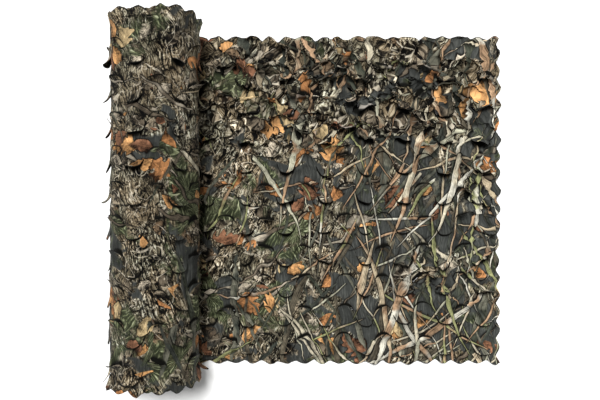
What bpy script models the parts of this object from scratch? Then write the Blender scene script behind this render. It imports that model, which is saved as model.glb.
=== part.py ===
"""A leaf-cut camouflage net, part rolled up, with the loose end run out flat on the ground.

Metres, +Z up. The roll's axis runs along Y above the origin, which is the middle of the roll's flat
spot on the ground. The loose end leaves from under the roll and runs along +X to its free edge.
"""

import math
import random

import bmesh
import bpy

# The cloth
NET_WIDTH = 1.50  # across the net, from one scalloped edge to the other
FREE_EDGE_X = 1.525  # how far the loose end reaches from the roll's axis
CLOTH_THICK = 0.002
SCALLOP_PITCH = NET_WIDTH / 19  # one wave of the cut edge
SCALLOP_DEPTH = 0.018

# The leaf cuts: lines of arcs across the net that bulge to one side and then to the other
ARC_PITCH = 0.090  # one arc's width, along the net
LINE_PITCH = 0.137  # from one line of arcs to the next, across the net
LINE_COUNT = 10
ARC_HEIGHT = 0.059  # how far an arc bulges from its line
ARC_FLATNESS = 1.35  # rounds the top of each arc and steepens its sides
FIRST_ARC_X = 0.138
LINES_OFF_CENTRE = 0.026  # the lines of arcs lie this much nearer the far edge than the near one
ARC_COUNT = 15  # along the loose end
BRIDGE_SHARE = 0.07  # of an arc's width, left uncut at each of its ends
ARC_RUN_OUT = 0.06  # over which the lines of arcs straighten at the free edge
ARC_STATIONS = (BRIDGE_SHARE, 0.30, 0.50, 0.70, 1 - BRIDGE_SHARE)
START_STATIONS = (0.095,)  # between the roll and the first arc
END_STATIONS = (1.489, 1.501)  # between the last arc and the free edge

# How the loose end lies
LOW_LIFT = 0.011  # the least and the most that the tip of a cut leaf stands up
HIGH_LIFT = 0.030
DRAW_BACK = 0.35  # how far a leaf's tip draws back, as a share of its lift
RUMPLE_HEIGHT = 0.018  # of the cloth between the cuts
FLAT_MARGIN = 0.037  # of the free edge, that lies flat on the ground
RUMPLES = (  # wavelength along x and y, phase, slant
    (0.41, 0.47, 0.6, 0.9),
    (0.23, 0.36, 2.1, -1.4),
    (0.31, 0.21, 4.0, 0.5),
)
RUMPLE_COVER = 0.15  # more than 0 for ridges wider than the hollows between them
RUMPLE_FULL = 0.65  # where on the way up its waves a ridge has its full height
CALM = 0.5  # how rumpled the flattest cloth is, as a share of the most rumpled
LOOSE_BANDS = (  # axis, where the rumpling begins and where it is full, how much
    ("y", 0.12, 0.42, 1.0),
    ("x", 1.22, 1.44, 0.8),
    ("x", 0.75, 0.30, 0.6),
)
ROLL_SIDE = (0.10, 0.26)  # x where the cloth leaves the ground beside the roll, and where it is free
EDGE_BAND = 0.09  # over which it comes down to an edge

# The roll
ROLL_RADIUS = 0.190
FLAT_SINK = 0.005  # how far the roll's weight flattens its underside
TAIL_X = 0.055  # where the roll's outer turn ends on the ground and the loose end begins
SEAM_GAP = 0.0003
ROLL_STEPS = 53  # round the roll, four to an arc
TAIL_STEP = 2  # the one that stands at TAIL_X
ROLL_LUMP = 0.004  # unevenness of the wound body
LEAF_RELIEF = 0.009  # how far the leaf tips stand out from the roll
RELIEF_FREE_ANGLE = math.radians(62)  # no relief this near the ground, on either side
END_RINGS = (0.174, 0.152, 0.130, 0.108, 0.084, 0.058, 0.030)  # radii of the turns that show at an end
END_SLOPE = 0.022  # how far the middle of the end lies behind its rim
TURN_RELIEF = 0.012  # how far a turn's edge stands out of the gap beside it
ROLL_END_Y = 0.756  # the wound edges stand a little past the flat net's
END_WANDER = 0.007  # the turns are not wound quite true

NET_BROWN = (0.105, 0.093, 0.068, 1.0)


def arc_bulge(share):
    """How far a line of arcs stands from straight. share counts arcs along the net from the first."""
    wave = math.tanh(ARC_FLATNESS * math.sin(math.pi * share))
    return -ARC_HEIGHT * wave / math.tanh(ARC_FLATNESS)


def scallop(along):
    """How far the cut edge draws in from its outermost line."""
    return SCALLOP_DEPTH * (1 - math.cos(2 * math.pi * along / SCALLOP_PITCH)) / 2


def smooth_step(low, high, value):
    share = min(1.0, max(0.0, (value - low) / (high - low)))
    return share * share * (3 - 2 * share)


def looseness(x, y):
    """How rumpled the net lies, up to 1: most in the far band, then by the free edge and by the roll."""
    bands = [
        share * smooth_step(begins, full, x if axis == "x" else y)
        for axis, begins, full, share in LOOSE_BANDS
    ]
    return max(CALM, *bands)


def rumple(x, y):
    """Height of the cloth above the ground: 0 in the hollows, by the roll and along the edges."""
    waves = sum(
        math.sin(2 * math.pi * (x / along + y / across + slant * x * y) + phase)
        for along, across, phase, slant in RUMPLES
    )
    flat_from = FREE_EDGE_X - FLAT_MARGIN
    inside = smooth_step(*ROLL_SIDE, x) * smooth_step(flat_from, flat_from - EDGE_BAND, x)
    inside *= smooth_step(NET_WIDTH / 2, NET_WIDTH / 2 - EDGE_BAND, abs(y))
    ridge = min(1.0, max(0.0, waves / len(RUMPLES) + RUMPLE_COVER) / RUMPLE_FULL)
    return RUMPLE_HEIGHT * ridge * inside * looseness(x, y)


def line_y(line):
    return LINES_OFF_CENTRE + (line - LINE_COUNT / 2) * LINE_PITCH


def x_stations():
    """The sheet's grid lines along x: close together round the tips of the arcs."""
    stations = [TAIL_X + SEAM_GAP, *START_STATIONS]
    for arc in range(ARC_COUNT):
        stations += [FIRST_ARC_X + ARC_PITCH * (arc + share) for share in ARC_STATIONS]
    return stations + [*END_STATIONS, FREE_EDGE_X]


def curve_y(x, level):
    """The y of the sheet's grid line at this level: 0 is one edge, each odd level a line of cuts."""
    half_width = NET_WIDTH / 2
    if level == 0:
        return -half_width + scallop(x)
    if level == 2 * LINE_COUNT:
        return half_width - scallop(x)
    if level % 2 == 0:  # midway between two lines
        return (curve_y(x, level - 1) + curve_y(x, level + 1)) / 2
    bulge = arc_bulge((x - FIRST_ARC_X) / ARC_PITCH)
    return line_y((level - 1) // 2) + bulge * smooth_step(FREE_EDGE_X, FREE_EDGE_X - ARC_RUN_OUT, x)


def is_cut(edge, columns):
    """Whether a grid edge lies on an arc's cut, and not on the bridge between two arcs."""
    (column_a, level_a), (column_b, level_b) = columns[edge.verts[0]], columns[edge.verts[1]]
    if level_a != level_b or level_a % 2 == 0:
        return False
    first_of_arcs = 1 + len(START_STATIONS)
    share = min(column_a, column_b) - first_of_arcs
    in_arcs = 0 <= share < ARC_COUNT * len(ARC_STATIONS)
    return in_arcs and share % len(ARC_STATIONS) < len(ARC_STATIONS) - 1


def leaf_lift(x, y, level, side, dice):
    """How far a point beside a cut stands up as a leaf's tip. side is +1 above the cut, -1 below it."""
    arc = math.floor((x - FIRST_ARC_X) / ARC_PITCH)
    share = (x - FIRST_ARC_X) / ARC_PITCH - arc
    leaf_side = -1 if arc % 2 else 1  # an arc that bulges down bounds a leaf that hangs from above
    if (arc, level) not in dice or side != leaf_side:
        return 0.0
    span = (share - 0.5) / (0.5 - BRIDGE_SHARE)
    lift = LOW_LIFT + (HIGH_LIFT - LOW_LIFT) * looseness(x, y) * dice[(arc, level)]
    lift *= smooth_step(*ROLL_SIDE, x)
    return lift * max(0.0, 1 - span * span)


def make_loose_end(collection, material):
    """The net on the ground: one thin sheet, cut through at every arc, with its leaves standing up."""
    stations = x_stations()
    columns, levels = len(stations) - 1, 2 * LINE_COUNT
    seeded = random.Random(11)
    dice = {
        (arc, level): seeded.uniform(0.25, 1.0)
        for arc in range(ARC_COUNT)
        for level in range(1, levels, 2)
    }
    sheet = bmesh.new()
    bmesh.ops.create_grid(sheet, x_segments=columns, y_segments=levels, size=0.5)
    level_of = sheet.verts.layers.int.new("level")
    place = {
        v: (round((v.co.x + 0.5) * columns), round((v.co.y + 0.5) * levels))
        for v in sheet.verts
    }
    cuts = [edge for edge in sheet.edges if is_cut(edge, place)]
    for v, (column, level) in place.items():
        v[level_of] = level
        v.co = (stations[column], curve_y(stations[column], level), 0.0)
    bmesh.ops.split_edges(sheet, edges=cuts)
    moved = {}
    for v in sheet.verts:
        x, y = v.co.x, v.co.y
        inwards = sum(face.calc_center_median().y - y for face in v.link_faces)
        side = math.copysign(1, inwards)
        lift = leaf_lift(x, y, v[level_of], side, dice) if v.is_boundary else 0.0
        moved[v] = (y + side * DRAW_BACK * lift, rumple(x, y) + lift)
    for v, (y, z) in moved.items():
        v.co.y, v.co.z = y, z
    free_edge = [
        e for e in sheet.edges if all(abs(v.co.x - FREE_EDGE_X) < 1e-5 for v in e.verts)
    ]
    bmesh.ops.subdivide_edges(sheet, edges=free_edge, cuts=3)
    for v in sheet.verts:
        if abs(v.co.x - FREE_EDGE_X) < 1e-5:
            v.co.x -= scallop(v.co.y + NET_WIDTH / 2)
    bmesh.ops.triangulate(sheet, faces=sheet.faces)
    bmesh.ops.recalc_face_normals(sheet, faces=sheet.faces)
    if sheet.faces[0].normal.z < 0:
        bmesh.ops.reverse_faces(sheet, faces=sheet.faces)
    loose_end = finish_mesh("loose_end", sheet, collection, material)
    thickness = loose_end.modifiers.new("cloth thickness", "SOLIDIFY")
    thickness.thickness = CLOTH_THICK
    thickness.offset = 1.0  # upwards, so that the underside stays on the ground
    return loose_end


def roll_profile():
    """(radius, y) from the middle of one end, over the side, to the middle of the other."""
    side = [-ROLL_END_Y]
    for line in range(LINE_COUNT):
        side += [line_y(line) + step for step in (-ARC_HEIGHT, 0.0, ARC_HEIGHT)]
    side.append(ROLL_END_Y)
    near_end = [(radius, -ROLL_END_Y) for radius in reversed(END_RINGS)]
    far_end = [(radius, ROLL_END_Y) for radius in END_RINGS]
    return (
        [(0.0, -ROLL_END_Y), *near_end]
        + [(ROLL_RADIUS, y) for y in side]
        + [*far_end, (0.0, ROLL_END_Y)]
    )


def side_relief(angle, y):
    """How far the roll's side stands out: slow lumps of the wound body and the tips of its leaves."""
    lump = math.sin(2 * angle + 7 * y) + math.sin(3 * angle - 4 * y + 1) + math.sin(11 * y)
    share = (ROLL_RADIUS * angle - FIRST_ARC_X) / ARC_PITCH
    relief = 0.0
    for line in range(LINE_COUNT):
        reach = arc_bulge(share)
        tip = line_y(line) + math.copysign(ARC_HEIGHT, reach)
        if abs(y - tip) < 1e-4:
            relief = LEAF_RELIEF * abs(reach) / ARC_HEIGHT
    from_ground = math.acos(math.cos(angle))
    fade = smooth_step(RELIEF_FREE_ANGLE / 2, RELIEF_FREE_ANGLE, from_ground)
    return (ROLL_LUMP * lump / 3 + relief) * fade


def end_depth(radius, angle):
    """How far an end lies inside its outermost line: a scalloped rim, and turns that make one spiral."""
    wander = END_WANDER * (1 + math.sin(2 * angle + 40 * radius)) / 2
    if radius > ROLL_RADIUS - 1e-4:
        return wander + scallop(radius * angle)
    inward = 1 - radius / ROLL_RADIUS
    ring = min(range(len(END_RINGS)), key=lambda k: abs(END_RINGS[k] - radius))
    trough = (1 + math.cos(angle + math.pi * ring)) / 2 if radius > 0.01 else 1.0
    edge = (1 - trough) * scallop(radius * angle) / 2
    return wander + SCALLOP_DEPTH / 3 + END_SLOPE * inward + TURN_RELIEF * trough + edge


def roll_section(angle, radius):
    """(x, z) of a point of the roll, whose underside is pressed flat."""
    axis_z = ROLL_RADIUS - FLAT_SINK
    x, z = radius * math.sin(angle), axis_z - radius * math.cos(angle)
    return x, max(0.0, z)


def make_roll(collection, material):
    """The wound net, as one solid: a turned body whose points are moved to its lumps, leaves and turns.

    Its outer turn ends on the ground in a step at TAIL_X, where the loose end goes on.
    """
    body = bmesh.new()
    ring = [body.verts.new((0.0, y, -radius)) for radius, y in roll_profile()]
    line = [body.edges.new(pair) for pair in zip(ring, ring[1:])]
    bmesh.ops.spin(
        body,
        geom=ring + line,
        cent=(0, 0, 0),
        axis=(0, -1, 0),
        angle=2 * math.pi,
        steps=ROLL_STEPS,
        use_merge=True,
    )
    bmesh.ops.remove_doubles(body, verts=body.verts, dist=1e-5)
    step = 2 * math.pi / ROLL_STEPS
    for v in body.verts:
        radius = math.hypot(v.co.x, v.co.z)
        turn = round(math.atan2(v.co.x, -v.co.z) / step)  # steps round from the ground, towards +X
        if turn > TAIL_STEP + 1:
            turn -= ROLL_STEPS  # the cloth winds the other way, from its tail under the roll
        angle = turn * step
        outwards = math.copysign(1, v.co.y)
        on_rim = abs(radius - ROLL_RADIUS) < 1e-4
        y = v.co.y
        if abs(abs(y) - ROLL_END_Y) < 1e-5:
            y -= outwards * end_depth(radius, angle)
        if on_rim:
            radius += side_relief(angle, v.co.y)
        x, z = roll_section(angle, radius)
        if on_rim and turn == TAIL_STEP:
            x, z = TAIL_X, 0.0
        elif on_rim and turn == TAIL_STEP + 1:
            x, z = TAIL_X, CLOTH_THICK + SEAM_GAP
        v.co = (x, y, z)
    bmesh.ops.recalc_face_normals(body, faces=body.faces)
    return finish_mesh("net_roll", body, collection, material)


def finish_mesh(name, shape, collection, material):
    mesh = bpy.data.meshes.new(name)
    shape.to_mesh(mesh)
    shape.free()
    mesh.shade_smooth()
    mesh.set_sharp_from_angle(angle=math.radians(50))
    mesh.materials.append(material)
    made = bpy.data.objects.new(name, mesh)
    collection.objects.link(made)
    return made


def make_cloth_material():
    material = bpy.data.materials.new("printed_net")
    material.use_nodes = True
    surface = material.node_tree.nodes["Principled BSDF"]
    surface.inputs["Base Color"].default_value = NET_BROWN
    surface.inputs["Roughness"].default_value = 0.8
    surface.inputs["Metallic"].default_value = 0.0
    return material


def main():
    for left_over in list(bpy.data.objects):
        bpy.data.objects.remove(left_over)
    collection = bpy.data.collections.new("camouflage net")
    bpy.context.scene.collection.children.link(collection)
    printed_net = make_cloth_material()
    make_roll(collection, printed_net)
    make_loose_end(collection, printed_net)


main()
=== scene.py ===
# Camouflage net, part rolled up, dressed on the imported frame: the loose end, the roll's outer turn and
# the turns inside it are all one flat cloth (u along it, v across it), carried to where it lies.
import math

import bpy
import numpy as np
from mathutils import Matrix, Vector


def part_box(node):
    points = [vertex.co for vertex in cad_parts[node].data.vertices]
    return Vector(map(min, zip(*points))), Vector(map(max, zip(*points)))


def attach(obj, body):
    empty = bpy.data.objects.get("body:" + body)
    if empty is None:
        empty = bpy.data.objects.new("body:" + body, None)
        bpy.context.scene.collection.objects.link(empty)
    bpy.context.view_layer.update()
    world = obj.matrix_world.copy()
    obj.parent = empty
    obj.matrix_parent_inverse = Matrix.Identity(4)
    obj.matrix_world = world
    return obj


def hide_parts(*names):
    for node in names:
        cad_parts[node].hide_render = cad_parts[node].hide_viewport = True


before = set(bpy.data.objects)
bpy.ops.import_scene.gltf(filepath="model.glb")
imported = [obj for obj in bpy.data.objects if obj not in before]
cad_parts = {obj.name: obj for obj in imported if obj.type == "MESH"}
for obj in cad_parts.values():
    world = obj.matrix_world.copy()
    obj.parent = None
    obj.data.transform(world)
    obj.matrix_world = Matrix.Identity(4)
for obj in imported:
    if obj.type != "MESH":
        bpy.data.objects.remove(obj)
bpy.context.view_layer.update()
sheetLow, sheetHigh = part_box("loose_end")
print("frame loaded")

# the flat cloth, in metres: lines of arcs are cut along it, and every edge is scalloped
clothWidth = 1.5  # as such nets come off the roll
netCloth = {
    "width": clothWidth,
    "freeEnd": sheetHigh[0],  # on the ground u is the frame's x
    "tail": sheetLow[0],  # where the loose end goes over into the roll
    "scallopPitch": clothWidth / 19,
    "scallopDepth": 0.018,
    "scallopLobe": 0.55,  # 0 for plain waves, 1 for round lobes
    "arcPitch": 0.090,
    "arcHeight": 0.059,
    "arcUneven": 0.22,  # share of the height that an arc may lack
    "arcFlatness": 1.6,
    "arcSeed": 6,
    "arcDraws": 256,  # arcs in a line before the random draws repeat
    "firstArc": 0.138,
    "linePitch": 0.137,
    "lineCount": 10,
    "linesOffCentre": 0.026,
    "uncutMargin": 0.035,  # along the free end
    "bridgeShare": 0.11,  # half the uncut bridge between two arcs, in arcs
}
roundOff = 1e-6  # what two equal sums of metres may differ by


def gridNoise(x, y, cell, seed):
    # gradient noise: random slopes on a square lattice of this cell size, blended by the quintic fade
    # 6 t^5 - 15 t^4 + 10 t^3, and scaled to run from about -1 to 1
    repeat, gain = 64, 1.5  # cells before it repeats, and the scale
    slopes = np.random.default_rng(seed).uniform(0, 2 * np.pi, (repeat, repeat))
    gx, gy = x / cell, y / cell
    ix, iy = np.floor(gx).astype(int), np.floor(gy).astype(int)
    fx, fy = gx - ix, gy - iy

    def corner(ox, oy):
        angle = slopes[(ix + ox) % repeat, (iy + oy) % repeat]
        return np.cos(angle) * (fx - ox) + np.sin(angle) * (fy - oy)

    sx, sy = fx**3 * (fx * (fx * 6 - 15) + 10), fy**3 * (fy * (fy * 6 - 15) + 10)
    low = corner(0, 0) * (1 - sx) + corner(1, 0) * sx
    high = corner(0, 1) * (1 - sx) + corner(1, 1) * sx
    return gain * (low * (1 - sy) + high * sy)


def smoothStep(low, high, value):
    # 0 up to low and 1 from high on, with 3 t t - 2 t t t between; it runs down where low is the larger
    share = np.clip((value - low) / (high - low), 0, 1)
    return share * share * (3 - 2 * share)


def between(ends, share):
    # runs straight from the first of two values to the second as the share goes from 0 to 1
    return ends[0] + (ends[1] - ends[0]) * share


def triangleWave(phase):
    # runs from -1 to 1 and back in straight slopes, once for each whole phase
    return 4 * np.abs(phase - np.floor(phase + 0.5)) - 1


def scallop(along):
    # how far a cut edge draws in from its outermost line: between a raised cosine, (1 - cos) / 2, and
    # round lobes with sharp nicks, 1 less the size of the cosine of half the angle
    c = netCloth
    phase = np.pi * along / c["scallopPitch"]
    wave = (1 - np.cos(2 * phase)) / 2
    lobe = 1 - np.abs(np.cos(phase))
    return c["scallopDepth"] * (wave + c["scallopLobe"] * (lobe - wave))


def arcBulge(u, line):
    # how far a line of arcs stands from straight: a sine whose tops are flattened by tanh, each arc of
    # its own height, and all of them run out before the free end
    c = netCloth
    place = (u - c["firstArc"]) / c["arcPitch"]
    wave = np.tanh(c["arcFlatness"] * np.sin(np.pi * place)) / math.tanh(c["arcFlatness"])
    dice = np.random.default_rng(c["arcSeed"]).random((c["lineCount"], c["arcDraws"]))
    arc = np.floor(place).astype(int) % c["arcDraws"]
    height = (1 - c["arcUneven"] * dice)[np.clip(line, 0, c["lineCount"] - 1), arc]
    lastArc = c["freeEnd"] - c["uncutMargin"]
    return -c["arcHeight"] * height * wave * smoothStep(c["freeEnd"], lastArc, u)


def lineAt(line):
    # v of a line of arcs: its number, counted from the middle one, times the pitch, plus the offset
    c = netCloth
    return c["linesOffCentre"] + (line - c["lineCount"] / 2) * c["linePitch"]


def columnsAlong(uFrom, uTo, perArc):
    # u of each grid column, and which of them lie on a bridge: the columns are evenly spread, then drawn
    # together by a sine where an arc meets the next one
    c = netCloth
    gather, least = 0.5, 0.001  # how much they draw together, and the least step at either end
    firstArc = math.floor((uFrom - c["firstArc"]) / c["arcPitch"])
    lastArc = math.ceil((uTo - c["firstArc"]) / c["arcPitch"])
    share = np.arange(firstArc * perArc, lastArc * perArc + 1) / perArc
    share = share - gather * np.sin(2 * np.pi * share) / (2 * np.pi)
    u = c["firstArc"] + c["arcPitch"] * share
    inside = (u > uFrom + least) & (u < uTo - least)
    place = (u - c["firstArc"]) / c["arcPitch"]
    atBridge = np.abs(place - np.round(place)) < c["bridgeShare"]
    u = np.concatenate([[uFrom], u[inside], [uTo]])
    return u, np.concatenate([[True], atBridge[inside], [True]])


def gridQuads(index):
    # the quads between each two neighbouring rows and columns of vertex numbers
    corners = [index[:-1, :-1], index[:-1, 1:], index[1:, 1:], index[1:, :-1]]
    return np.stack(corners, -1).reshape(-1, 4)


def cutGrid(uFrom, uTo, perArc, rows):
    # The flat cloth as strips between the lines of arcs. A strip's rows run from the line below it to the
    # line above, and the swing they take from both lines halves towards its middle. Neighbouring strips
    # share their vertices only at the bridges. Returns u, v, strip and row share of each vertex, and
    # the quads.
    c = netCloth
    u, atBridge = columnsAlong(uFrom, uTo, perArc)
    arcs = round((c["freeEnd"] - c["firstArc"] - c["uncutMargin"]) / c["arcPitch"])
    joined = atBridge | (u > c["firstArc"] + arcs * c["arcPitch"] - roundOff)
    half = c["width"] / 2
    share = np.linspace(0, 1, rows + 1)
    swing = 0.5 + 0.5 * (2 * share - 1) ** 2
    parts, count, top = [], 0, None
    for strip in range(c["lineCount"] + 1):
        low = lineAt(strip - 1) if strip else -half
        high = lineAt(strip) if strip < c["lineCount"] else half
        lowBulge = arcBulge(u, strip - 1) if strip else scallop(u)
        highBulge = arcBulge(u, strip) if strip < c["lineCount"] else -scallop(u)
        v = low + (high - low) * share[:, None]
        v = v + np.outer((1 - share) * swing, lowBulge) + np.outer(share * swing, highBulge)
        index = np.zeros(v.shape, int)
        new = np.ones(v.shape, bool)
        if strip:
            new[0, joined] = False
            index[0, joined] = top[joined]
        index[new] = count + np.arange(new.sum())
        count += new.sum()
        top = index[-1]
        gridU, gridShare = np.broadcast_to(u, v.shape), np.broadcast_to(share[:, None], v.shape)
        strips = np.full(new.sum(), strip)
        parts.append((gridU[new], v[new], strips, gridShare[new], gridQuads(index)))
    return [np.concatenate(part) for part in zip(*parts)]


# how the cloth lies: patches (u, v, reach along, reach across, amount) that are more rumpled than the rest
looseness = {
    "calm": 0.16,
    "patches": (
        (0.80, 0.52, 0.95, 0.34, 1.0),
        (1.47, 0.20, 0.16, 0.75, 0.8),
        (1.21, -0.34, 0.17, 0.13, 0.9),
        (0.26, -0.45, 0.18, 0.40, 0.6),
        (0.70, -0.72, 0.60, 0.12, 0.5),
        (0.16, 0.10, 0.12, 0.50, 0.5),
        (0.62, 0.08, 0.22, 0.16, 0.45),
    ),
}
rumpling = {
    "swell": 0.041,  # height of the hills where the cloth is loose
    "swellCell": 0.098,
    "ripple": 0.36,  # the smaller hills, as a share of the large ones
    "ripplesToSwell": 2.2,
    "crease": 0.009,
    "creaseWaves": (  # length, way, phase
        (0.23, 0.4, 0.1),
        (0.17, 1.9, 0.6),
        (0.13, 2.7, 0.3),
        (0.10, 1.1, 0.8),
    ),
    "creaseCell": 0.2,  # a crease comes and goes over this distance
    "creaseBend": 0.35,
    "creaseBendCell": 0.16,
    "pinch": 0.024,  # how far the cloth creeps up a slope
    "drift": 0.012,  # how far it lies from its place, and how much further where it is loose
    "looseDrift": 0.024,
    "driftCell": 0.19,
    "seeds": {"swell": 3, "ripple": 4, "bend": 5, "slow": (8, 9), "quick": (12, 13)},
}
edgeLobe = {"reach": 0.045, "lift": 0.026, "lean": 0.012, "seed": 51, "draws": 64}
leafCuts = {
    "hingeIn": 0.014,  # how far inside its line of arcs a leaf hinges
    "leastCurl": (0.20, 0.60),  # radians, where the cloth is calm and where it is loose
    "mostCurl": (0.85, 2.30),
    "curlSkew": 1.5,  # above 1, so that more leaves curl little than much
    "strayCurl": 0.85,
    "strayShare": 0.13,
    "curlLimits": (0.01, 2.0),
    "twist": (0.75, 1.0),
    "lean": (0.010, 0.032),
    "cup": 0.35,
    "cupRise": 0.3,
    "cupEven": 0.8,  # the draw, doubled, at which a leaf doesn't cup
    "lipSlack": 0.013,
    "lipSpare": 1.2,  # how much of the bared length the lip reaches over
    "lipMost": 0.054,
    "lipDrop": 0.006,
    "lipDepth": 0.028,
    # the dark band along each cut: a thin seared edge on a leaf's tip, and on the notch's lip painted shade
    # under the lifted leaf, wider the more of the lip is bared
    "searedAndShadedLip": (0.007, 0.50, 0.013),  # least width, share of the bared length, most width
    "searedTip": 0.0025,
    "searedAndShadedFull": 1.2,
    "searedAndShadedBridge": (0.02, 0.25),  # of the window: none below the first, full above the second
    "turnedOver": (1.25, 1.60),  # radians of curl from which the cloth's back shows
    "seed": 21,
}


def loosenessAt(u, v):
    # the most of the loose patches here, each falling off as e to the minus fourth powers of the distance
    most = np.full(np.shape(u), looseness["calm"])
    for midU, midV, reachU, reachV, amount in looseness["patches"]:
        away = ((u - midU) / reachU) ** 4 + ((v - midV) / reachV) ** 4
        most = np.maximum(most, amount * np.exp(-away))
    return most


def rumpledHeight(u, v, loose):
    # Hills: the size of gradient noise, large and small, which gives rounded tops between sharp valleys.
    # Creases: triangle waves in several directions, each bent and faded by noise.
    r, seeds = rumpling, rumpling["seeds"]
    swells = np.abs(gridNoise(u, v, r["swellCell"], seeds["swell"]))
    ripples = np.abs(gridNoise(u, v, r["swellCell"] / r["ripplesToSwell"], seeds["ripple"]))
    bend = r["creaseBend"] * gridNoise(u, v, r["creaseBendCell"], seeds["bend"])
    creases = 0
    for length, direction, phase in r["creaseWaves"]:
        along = u * math.cos(direction) + v * math.sin(direction)
        strength = 0.5 + gridNoise(u, v, r["creaseCell"], int(100 * direction))
        creases = creases + strength * triangleWave(along / length + bend + phase)
    return r["swell"] * loose * (swells + r["ripple"] * ripples) + r["crease"] * loose * creases


def rumpledCloth(u, v, loose):
    # Height, and the shifts along and across. Each point creeps uphill by tanh of the slope, which
    # pinches the crests, and drifts by a slow noise everywhere and by a quick one where it is loose.
    r, step = rumpling, 0.002
    height = rumpledHeight(u, v, loose)
    slopeU = (rumpledHeight(u + step, v, loose) - height) / step
    slopeV = (rumpledHeight(u, v + step, loose) - height) / step
    shifts = []
    for slope, slow, quick in zip((slopeU, slopeV), r["seeds"]["slow"], r["seeds"]["quick"]):
        shift = r["pinch"] * loose * np.tanh(slope) + r["drift"] * gridNoise(u, v, r["driftCell"], slow)
        shifts.append(shift + r["looseDrift"] * loose * gridNoise(u, v, r["driftCell"] / 2, quick))
    return height, *shifts


def bentLeaves(u, v, strip, share, loose, curlScale=1.0):
    # Each arc bounds a leaf on one side and a notch on the other. A leaf curls up from its hinge on an arc
    # of a circle, more on one side than on the other, which draws its tip back by 1 - sin(c) / c of its
    # length. The notch's lip reaches as far under it and sinks. All of it fades to nothing at the bridges,
    # as 1 less the fourth power of the distance from the arc's middle. Returns the shifts along, across
    # and up, how dark the cut is (a thin seared edge on a leaf's tip, and on the notch's lip painted
    # shade under the lifted leaf), and where the cloth's back shows.
    c, leaf = netCloth, leafCuts
    side = np.where(share > 0.5, 1, -1)
    line = np.where(side > 0, strip, strip - 1)
    place = (u - c["firstArc"]) / c["arcPitch"]
    arc = np.floor(place).astype(int)
    across = 2 * (place - arc) - 1
    window = 1 - across**4
    bulgeSide = np.where(arc % 2 == 0, -1, 1)
    hasLine = (line >= 0) & (line < c["lineCount"]) & (u < c["freeEnd"] - c["uncutMargin"])
    isLeaf = hasLine & (bulgeSide == side)
    isNotch = hasLine & (bulgeSide != side)
    dice = np.random.default_rng(leaf["seed"]).random((6, c["lineCount"], c["arcDraws"]))
    dice = dice[:, np.clip(line, 0, c["lineCount"] - 1), arc % c["arcDraws"]]
    curlDraw, twistDraw, cupDraw, leanDraw, slackDraw, strayDraw = dice

    full = c["arcHeight"] + leaf["hingeIn"]
    reach = np.clip(side * (v - lineAt(line)) + leaf["hingeIn"], 0, full)
    curls = between(leaf["leastCurl"], loose), between(leaf["mostCurl"], loose)
    curl = between(curls, curlDraw ** leaf["curlSkew"])
    curl = (curl + leaf["strayCurl"] * (strayDraw < leaf["strayShare"])) * curlScale
    twist = between(leaf["twist"], loose) * (2 * twistDraw - 1) * across
    curl = np.clip(curl * (1 + twist) * window, *leaf["curlLimits"])
    angle = curl * reach / full
    radius = full / curl
    leafAcross = side * (radius * np.sin(angle) - reach)
    leafAlong = between(leaf["lean"], loose) * (2 * leanDraw - 1) * (reach / full) ** 2
    cup = leaf["cup"] * (2 * cupDraw - leaf["cupEven"]) * full * leaf["cupRise"]
    leafUp = radius * (1 - np.cos(angle)) + cup * across**2 * (reach / full) * window

    fromCut = np.abs(lineAt(line) + arcBulge(u, line) - v)
    near = (1 - np.clip(fromCut / leaf["lipDepth"], 0, 1)) ** 2
    bared = full * (1 - np.sin(curl) / curl)
    lipReach = leaf["lipSpare"] * bared * near + leaf["lipSlack"] * (0.5 + slackDraw) * near**3
    lipReach = np.minimum(lipReach, leaf["lipMost"]) * window
    shiftAlong = np.where(isLeaf, leafAlong, 0)
    shiftAcross = np.where(isLeaf, leafAcross, 0) + np.where(isNotch, side * lipReach, 0)
    up = np.where(isLeaf, leafUp, 0) - np.where(isNotch, leaf["lipDrop"] * near * window, 0)

    # the dark band along the cut: on a leaf's tip a thin seared edge, on the notch's lip painted shade under
    # the lifted leaf, which widens as more of the lip is bared
    least, grow, most = leaf["searedAndShadedLip"]
    searedAndShadedTo = np.where(isNotch, np.minimum(least + grow * bared, most), leaf["searedTip"])
    searedAndShaded = np.clip(leaf["searedAndShadedFull"] - fromCut / searedAndShadedTo, 0, 1)
    searedAndShaded = searedAndShaded * hasLine * smoothStep(*leaf["searedAndShadedBridge"], window)
    turned = np.where(isLeaf, smoothStep(*leaf["turnedOver"], angle), 0)
    return shiftAlong, shiftAcross, up, searedAndShaded, turned


def makeNetPiece(name, co, quads, u, v, rim, turned):
    # a mesh of these points and quads, with a map of the flat cloth in metres, the same map as shares of
    # its size for baking, and how dark the rim is and whether the back shows at each point
    mesh = bpy.data.meshes.new(name)
    mesh.from_pydata(co.tolist(), [], quads.tolist())
    mesh.update()
    corner = np.zeros(len(mesh.loops), int)
    mesh.loops.foreach_get("vertex_index", corner)
    shares = (u - u.min()) / np.ptp(u), (v - v.min()) / np.ptp(v)
    for label, flat in (("Cloth", (u, v)), ("OFBake", shares)):
        layer = mesh.uv_layers.new(name=label)
        layer.data.foreach_set("uv", np.stack(flat, -1)[corner].ravel().astype(np.float32))
    mesh.uv_layers.active = mesh.uv_layers["Cloth"]
    for label, values in (("rim", rim), ("turned", turned)):
        mesh.attributes.new(label, "FLOAT", "POINT").data.foreach_set("value", values.astype(np.float32))
    mesh.shade_smooth()
    piece = bpy.data.objects.new(name, mesh)
    bpy.context.scene.collection.objects.link(piece)
    return piece


def edgeRim(share, strip, rows):
    # 1 on the two long edges and 0 elsewhere
    lessThanRow = 0.25 / rows
    low = (share < lessThanRow) & (strip == 0)
    high = (share > 1 - lessThanRow) & (strip == netCloth["lineCount"])
    return np.where(low | high, 1.0, 0.0)


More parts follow.
